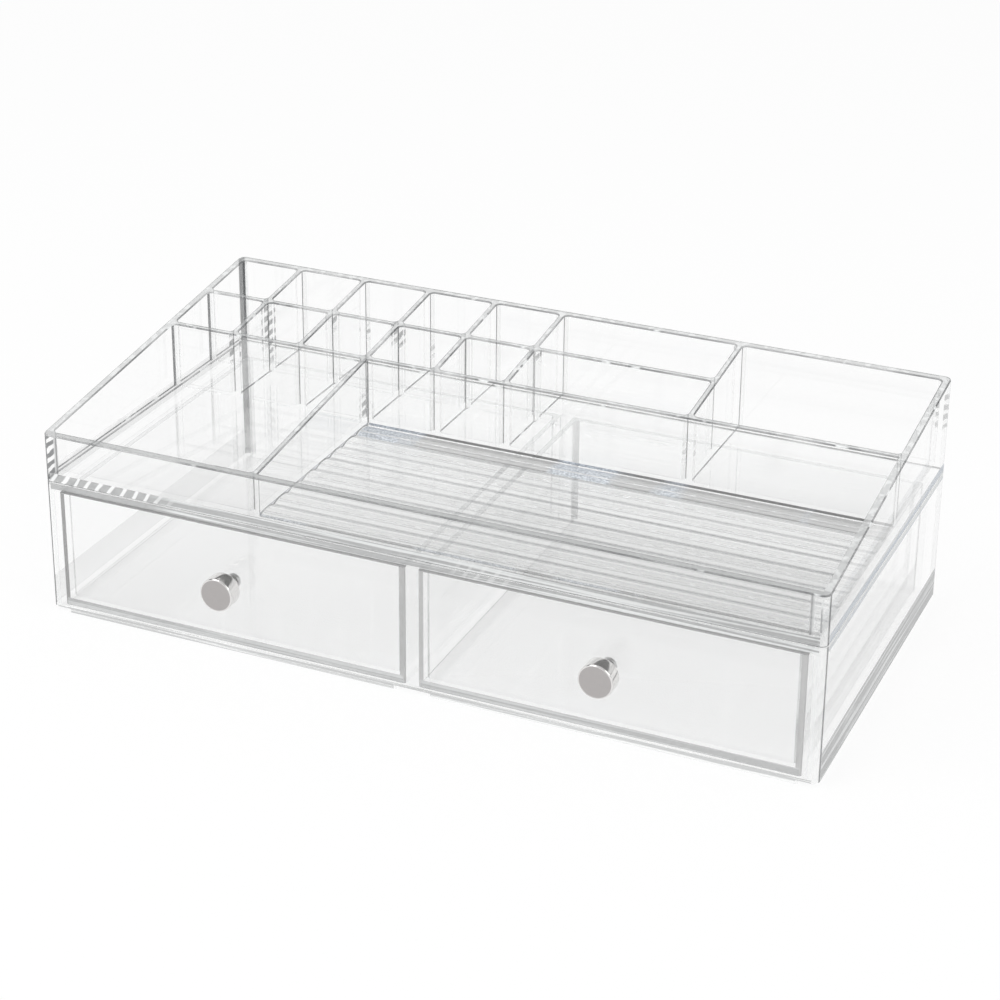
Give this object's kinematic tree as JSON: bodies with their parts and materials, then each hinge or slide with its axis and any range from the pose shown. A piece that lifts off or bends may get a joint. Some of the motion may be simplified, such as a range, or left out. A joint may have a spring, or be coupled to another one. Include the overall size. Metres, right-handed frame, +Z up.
{
  "type": "vanity organizer with drawers",
  "caption": "Clear acrylic vanity organizer: a low case with sliding drawers under a sloping tray of small cells and a ribbed space for brushes.",
  "frame": {"origin": "on the surface it stands on, at the middle of the whole footprint, knobs included", "axes": "+X to the right seen from the drawers, +Y to the back, +Z up"},
  "size_m": [0.33, 0.1756, 0.1],
  "materials": {
    "clear_acrylic": "clear and polished",
    "polished_chrome": "polished",
    "plated_steel": "satin"
  },
  "bodies": {
    "case": {"case_left_wall": "clear_acrylic", "case_right_wall": "clear_acrylic", "case_back_wall": "clear_acrylic", "case_top_panel": "clear_acrylic", "case_floor": "clear_acrylic", "centre_guide_fin": "clear_acrylic", "tray_left_wall": "clear_acrylic", "tray_right_wall": "clear_acrylic", "tray_front_wall": "clear_acrylic", "tray_back_wall": "clear_acrylic", "tray_floor": "clear_acrylic", "ribbed_brush_floor": "clear_acrylic", "cell_divider_1": "clear_acrylic", "cell_divider_2": "clear_acrylic", "long_divider": "clear_acrylic", "cell_divider_4": "clear_acrylic", "cell_divider_5": "clear_acrylic", "cell_divider_6": "clear_acrylic", "middle_row_divider": "clear_acrylic", "front_row_divider": "clear_acrylic"},
    "left_drawer": {"left_drawer_front": "clear_acrylic", "left_drawer_left_side": "clear_acrylic", "left_drawer_right_side": "clear_acrylic", "left_drawer_back": "clear_acrylic", "left_drawer_floor": "clear_acrylic", "left_drawer_knob": "polished_chrome", "left_knob_screw": "plated_steel"},
    "right_drawer": {"right_drawer_front": "clear_acrylic", "right_drawer_left_side": "clear_acrylic", "right_drawer_right_side": "clear_acrylic", "right_drawer_back": "clear_acrylic", "right_drawer_floor": "clear_acrylic", "right_drawer_knob": "polished_chrome", "right_knob_screw": "plated_steel"}
  },
  "joints": [
    {"name": "left_drawer_slide", "type": "slide", "parent": "case", "child": "left_drawer", "axis": [0, -1, 0], "range_m": [0, 0.12]},
    {"name": "right_drawer_slide", "type": "slide", "parent": "case", "child": "right_drawer", "axis": [0, -1, 0], "range_m": [0, 0.12]}
  ]
}
